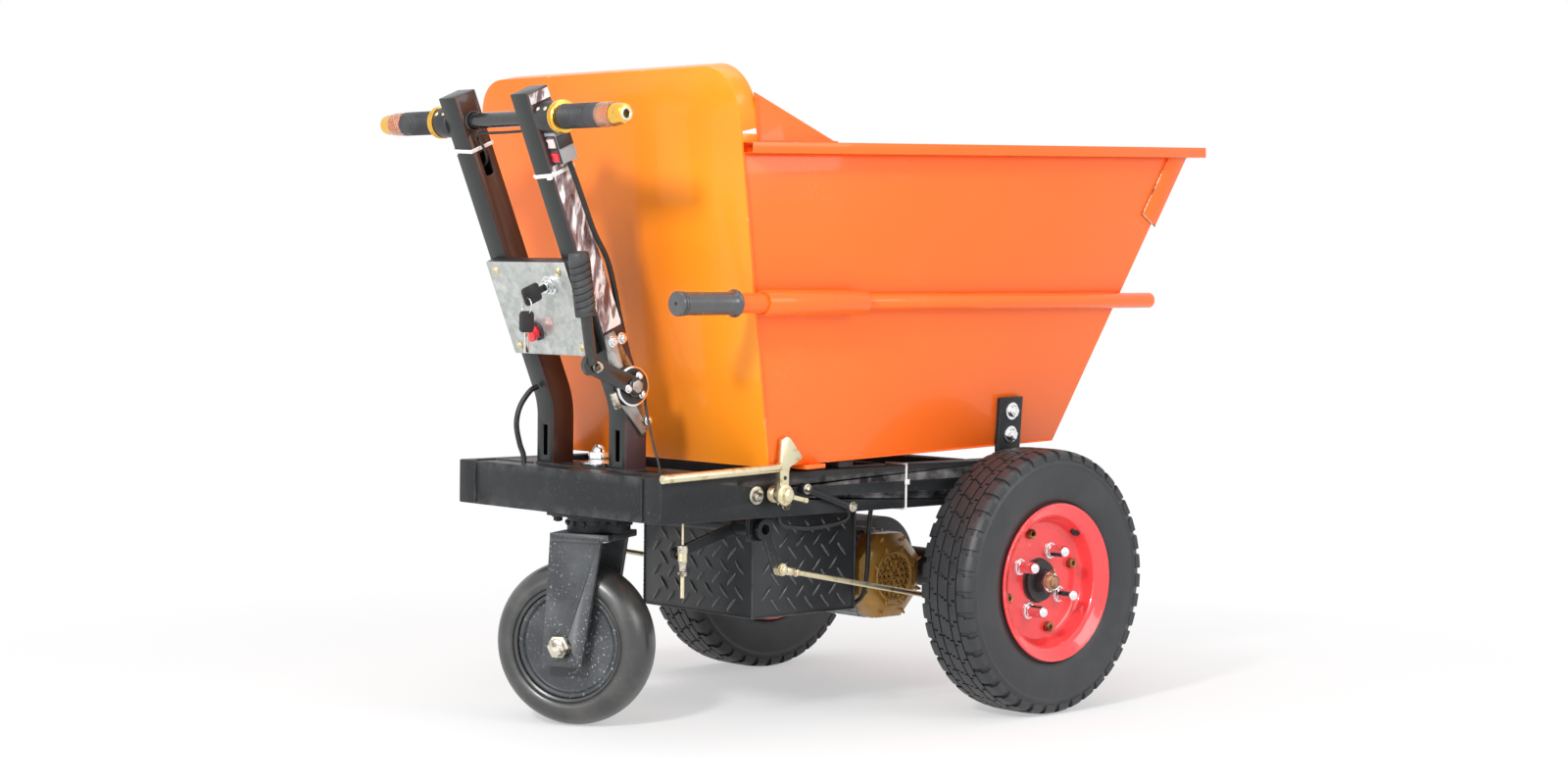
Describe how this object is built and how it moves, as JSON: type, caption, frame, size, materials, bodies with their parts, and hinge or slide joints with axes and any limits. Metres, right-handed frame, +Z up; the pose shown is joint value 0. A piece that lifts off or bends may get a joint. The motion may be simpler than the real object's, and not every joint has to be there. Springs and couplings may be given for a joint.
{
  "type": "concrete buggy",
  "caption": "Battery driven cart for wet concrete, with a front tipping tub on a welded frame, driven wheels ahead, a swivel castor behind and a leaning column with handlebar and brake lever.",
  "frame": {"origin": "on the ground below the middle of the cart's outline", "axes": "+X forward, the way the tub tips; +Y to the left; +Z up"},
  "size_m": [1.2256, 0.724, 0.9486],
  "materials": {
    "frame_black": "satin",
    "column_black": "satin",
    "drive_black": "matte",
    "castor_grey": "matte",
    "tub_orange": "gloss",
    "rim_red": "gloss",
    "battery_black": "satin",
    "cover_brown": "satin",
    "galvanised": "satin",
    "zinc_steel": "satin",
    "chrome": "polished",
    "gold_anodised": "satin",
    "motor_alloy": "matte",
    "tyre": "matte",
    "grip_rubber": "matte",
    "push_rubber": "matte",
    "black_plastic": "matte",
    "grey_plastic": "matte",
    "red_plastic": "gloss",
    "pink_plastic": "gloss",
    "cable_black": "satin"
  },
  "bodies": {
    "chassis": {"side_rails": "frame_black", "cross_members": "frame_black", "uprights": "column_black", "handlebar": "column_black", "bar_clamps": "black_plastic", "gold_bar_fittings": "gold_anodised", "left_grip": "grip_rubber", "switch_pod": "grey_plastic", "control_panel": "galvanised", "panel_box": "black_plastic", "key_switch": "chrome", "button_collar": "black_plastic", "brake_bracket": "column_black", "brake_cable": "cable_black", "frame_brackets": "frame_black", "battery_box": "battery_black", "battery_lid": "battery_black", "batteries_and_controller": "grey_plastic", "motor": "motor_alloy", "motor_fan_cover": "cover_brown", "axle_housing": "drive_black", "swivel_bearing": "frame_black", "rest_pads": "grip_rubber", "pivot_bolts": "zinc_steel", "latch_spring": "zinc_steel", "wiring_loom": "cable_black"},
    "tub": {"rear_panel": "tub_orange", "side_panels": "tub_orange", "floor_panel": "tub_orange", "front_panel": "tub_orange", "tub_stiffeners": "tub_orange", "push_bars": "tub_orange", "push_grips": "push_rubber", "hinge_brackets": "frame_black"},
    "left_wheel": {"left_tyre": "tyre", "left_rim": "rim_red", "left_hub": "drive_black", "left_wheel_nuts": "chrome"},
    "right_wheel": {"right_tyre": "tyre", "right_rim": "rim_red", "right_hub": "drive_black", "right_wheel_nuts": "chrome"},
    "castor": {"castor_fork": "castor_grey", "castor_pins": "zinc_steel"},
    "castor_wheel": {"castor_disc": "castor_grey", "castor_tyre": "tyre"},
    "latch": {"latch_lever": "zinc_steel"},
    "parking_brake_lever": {"brake_lever": "column_black", "brake_lever_grip": "grip_rubber", "brake_sheave": "black_plastic"},
    "brake_cross_shaft": {"brake_shaft": "frame_black"},
    "adjuster": {"cable_adjuster": "zinc_steel"},
    "pull_rods": {"brake_rods": "zinc_steel"},
    "drum_brake_arms": {"brake_arms": "frame_black"},
    "throttle": {"throttle_grip": "grip_rubber"},
    "key": {"ignition_key": "black_plastic"},
    "hanging_key": {"spare_key": "black_plastic"},
    "button": {"push_button": "red_plastic"},
    "rocker_up": {"upper_rocker": "pink_plastic"},
    "rocker_low": {"lower_rocker": "red_plastic"}
  },
  "joints": [
    {"name": "tub_tip", "type": "hinge", "parent": "chassis", "child": "tub", "pos_m": [0.21013, 0, 0.345], "axis": [0, 1, 0], "range_deg": [0, 75]},
    {"name": "left_wheel_spin", "type": "hinge", "parent": "chassis", "child": "left_wheel", "pos_m": [0.19813, 0.312, 0.2], "axis": [0, 1, 0], "continuous": true},
    {"name": "right_wheel_spin", "type": "hinge", "parent": "chassis", "child": "right_wheel", "pos_m": [0.19813, -0.312, 0.2], "axis": [0, 1, 0], "continuous": true},
    {"name": "castor_swivel", "type": "hinge", "parent": "chassis", "child": "castor", "pos_m": [-0.39587, 0, 0.3], "axis": [0, 0, 1], "continuous": true},
    {"name": "castor_wheel_spin", "type": "hinge", "parent": "castor", "child": "castor_wheel", "pos_m": [-0.4113, 0.03029, 0.12], "axis": [0.891, 0.454, 0], "continuous": true},
    {"name": "latch_release", "type": "hinge", "parent": "chassis", "child": "latch", "pos_m": [-0.26887, -0.251, 0.347], "axis": [0, 1, 0], "range_deg": [-20, 8], "stiffness_Nm_per_rad": 6, "springref_deg": 2.29},
    {"name": "parking_brake", "type": "hinge", "parent": "chassis", "child": "parking_brake_lever", "pos_m": [-0.43451, -0.11, 0.49851], "axis": [0, -1, 0], "range_deg": [0, 50]},
    {"name": "brake_shaft_turn", "type": "hinge", "parent": "chassis", "child": "brake_cross_shaft", "pos_m": [-0.26187, 0, 0.294], "axis": [0, 1, 0], "range_deg": [0, 12]},
    {"name": "adjuster_swing", "type": "hinge", "parent": "brake_cross_shaft", "child": "adjuster", "pos_m": [-0.37687, -0.15, 0.262], "axis": [0, 1, 0], "range_deg": [-12, 0]},
    {"name": "pull_rod_swing", "type": "hinge", "parent": "brake_cross_shaft", "child": "pull_rods", "pos_m": [-0.23787, 0, 0.236], "axis": [0, 1, 0], "range_deg": [-12, 0]},
    {"name": "brake_arm_turn", "type": "hinge", "parent": "chassis", "child": "drum_brake_arms", "pos_m": [0.14313, 0, 0.215], "axis": [0, 1, 0], "range_deg": [0, 12]},
    {"name": "throttle_twist", "type": "hinge", "parent": "chassis", "child": "throttle", "pos_m": [-0.57942, -0.187, 0.86823], "axis": [0, -1, 0], "range_deg": [0, 70], "stiffness_Nm_per_rad": 0.6, "springref_deg": -8.59},
    {"name": "key_turn", "type": "hinge", "parent": "chassis", "child": "key", "pos_m": [-0.5245, -0.04506, 0.63978], "axis": [0.9225, 0, 0.3859], "range_deg": [0, 60]},
    {"name": "spare_key_swing", "type": "hinge", "parent": "key", "child": "hanging_key", "pos_m": [-0.56602, -0.04506, 0.62241], "axis": [0, 1, 0], "range_deg": [-35, 35]},
    {"name": "button_push", "type": "slide", "parent": "chassis", "child": "button", "axis": [0.9225, 0, 0.3859], "range_m": [0, 0.004], "stiffness_N_per_m": 800, "springref_m": -0.002},
    {"name": "upper_rocker_tilt", "type": "hinge", "parent": "chassis", "child": "rocker_up", "pos_m": [-0.57479, -0.1128, 0.83385], "axis": [0, 1, 0], "range_deg": [-8, 8]},
    {"name": "lower_rocker_tilt", "type": "hinge", "parent": "chassis", "child": "rocker_low", "pos_m": [-0.56707, -0.1128, 0.8154], "axis": [0, 1, 0], "range_deg": [-8, 8]}
  ],
  "couplings": [
    {"joint": "brake_shaft_turn", "follows": "parking_brake", "ratio": 0.23},
    {"joint": "adjuster_swing", "follows": "parking_brake", "ratio": -0.23},
    {"joint": "pull_rod_swing", "follows": "parking_brake", "ratio": -0.23},
    {"joint": "brake_arm_turn", "follows": "parking_brake", "ratio": 0.23}
  ]
}
